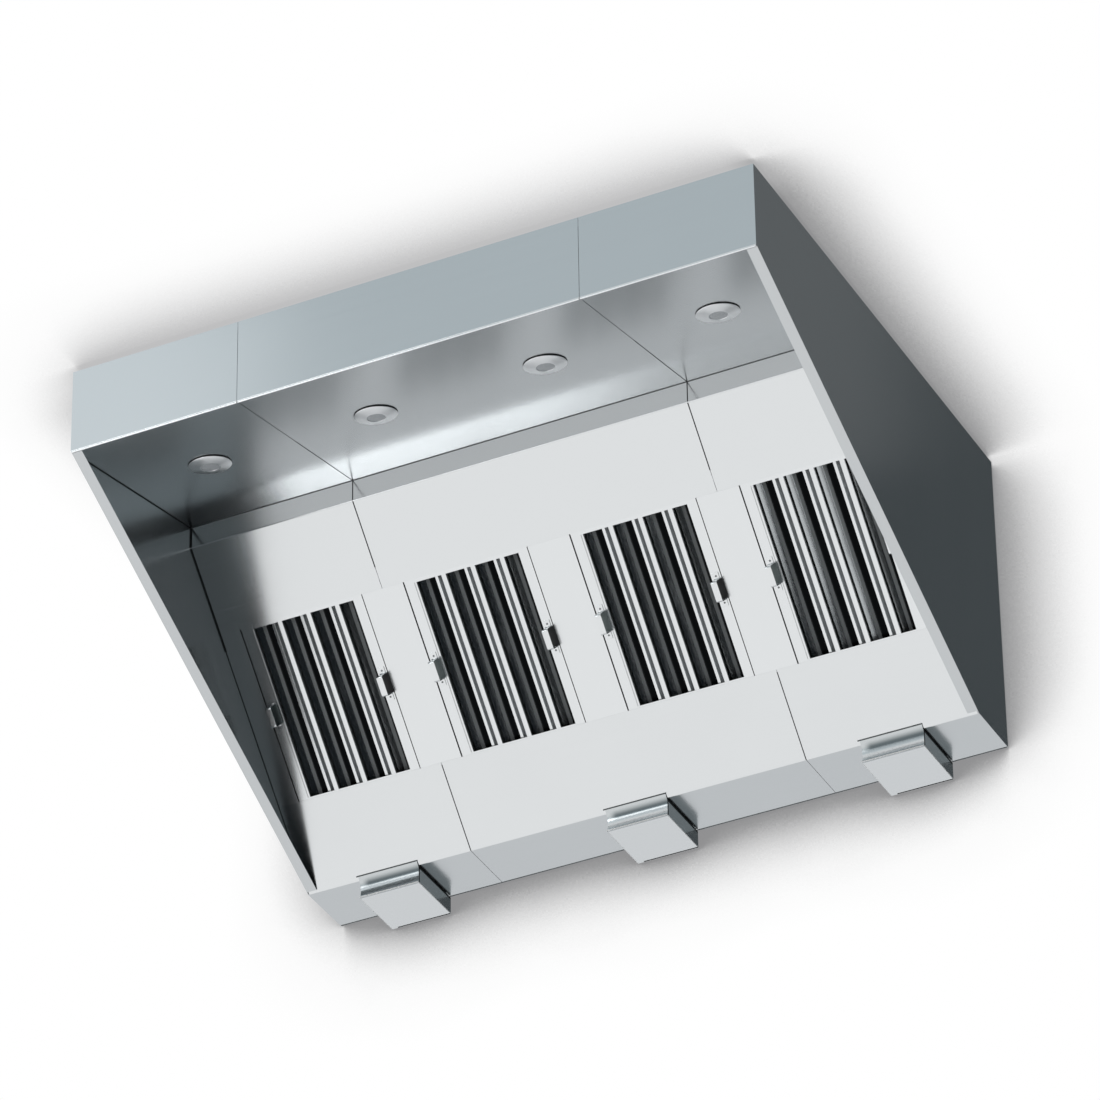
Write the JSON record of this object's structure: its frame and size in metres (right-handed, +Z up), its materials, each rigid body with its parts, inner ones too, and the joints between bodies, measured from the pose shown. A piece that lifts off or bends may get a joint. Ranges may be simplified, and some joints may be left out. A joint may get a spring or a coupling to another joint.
{
  "type": "canopy hood",
  "caption": "Wall canopy extraction hood with sloping baffle filters, light ceiling and pull-out grease drawers.",
  "frame": {"origin": "centre of the four suspension holes, on the upper face of the top sheet", "axes": "+X along the hood to the right seen from the front, +Y towards the wall, +Z up"},
  "size_m": [2, 1.525, 1.069],
  "materials": {
    "panel": "fine satin grain along the sheet",
    "structure": "plain mill satin",
    "filter": "bright satin",
    "baffle": "bright rolled",
    "drawer": "satin",
    "bezel": "smooth satin",
    "lens": "frosted",
    "can": "matt"
  },
  "bodies": {
    "canopy": {"back_panel": "structure", "blank_panel_1": "panel", "blank_panel_2": "panel", "blank_panel_3": "panel", "blank_panel_4": "panel", "blank_panel_5": "panel", "drawer_runners": "structure", "exhaust_collar": "structure", "fascia_left": "panel", "fascia_middle": "panel", "fascia_right": "panel", "filter_foot_channel": "structure", "filter_head_channel": "structure", "grease_tray_left": "panel", "grease_tray_middle": "panel", "grease_tray_right": "panel", "lamp_bezel_1": "bezel", "lamp_bezel_2": "bezel", "lamp_bezel_3": "bezel", "lamp_bezel_4": "bezel", "lamp_cans": "can", "lamp_lens_1": "lens", "lamp_lens_2": "lens", "lamp_lens_3": "lens", "lamp_lens_4": "lens", "light_panel_left": "panel", "light_panel_middle": "panel", "light_panel_right": "panel", "lower_panel_left": "panel", "lower_panel_middle": "panel", "lower_panel_right": "panel", "plenum_wall": "structure", "side_panel_left": "panel", "side_panel_right": "panel", "suspension_brackets": "structure", "top_panel": "structure", "upper_panel_left": "panel", "upper_panel_middle": "panel", "upper_panel_right": "panel"},
    "filter_1": {"filter_frame_1": "filter", "front_baffles_1": "baffle", "rear_baffles_1": "baffle", "filter_handles_1": "filter"},
    "filter_2": {"filter_frame_2": "filter", "front_baffles_2": "baffle", "rear_baffles_2": "baffle", "filter_handles_2": "filter"},
    "filter_3": {"filter_frame_3": "filter", "front_baffles_3": "baffle", "rear_baffles_3": "baffle", "filter_handles_3": "filter"},
    "filter_4": {"filter_frame_4": "filter", "front_baffles_4": "baffle", "rear_baffles_4": "baffle", "filter_handles_4": "filter"},
    "drawer_1": {"grease_drawer_1": "drawer"},
    "drawer_2": {"grease_drawer_2": "drawer"},
    "drawer_3": {"grease_drawer_3": "drawer"}
  },
  "joints": [
    {"name": "filter_1_lift", "type": "slide", "parent": "canopy", "child": "filter_1", "axis": [0, -0.6851, 0.7284], "range_m": [0, 0.017]},
    {"name": "filter_2_lift", "type": "slide", "parent": "canopy", "child": "filter_2", "axis": [0, -0.6851, 0.7284], "range_m": [0, 0.017]},
    {"name": "filter_3_lift", "type": "slide", "parent": "canopy", "child": "filter_3", "axis": [0, -0.6851, 0.7284], "range_m": [0, 0.017]},
    {"name": "filter_4_lift", "type": "slide", "parent": "canopy", "child": "filter_4", "axis": [0, -0.6851, 0.7284], "range_m": [0, 0.017]},
    {"name": "drawer_1_slide", "type": "slide", "parent": "canopy", "child": "drawer_1", "axis": [0, -1, 0], "range_m": [0, 0.15]},
    {"name": "drawer_2_slide", "type": "slide", "parent": "canopy", "child": "drawer_2", "axis": [0, -1, 0], "range_m": [0, 0.15]},
    {"name": "drawer_3_slide", "type": "slide", "parent": "canopy", "child": "drawer_3", "axis": [0, -1, 0], "range_m": [0, 0.15]}
  ]
}
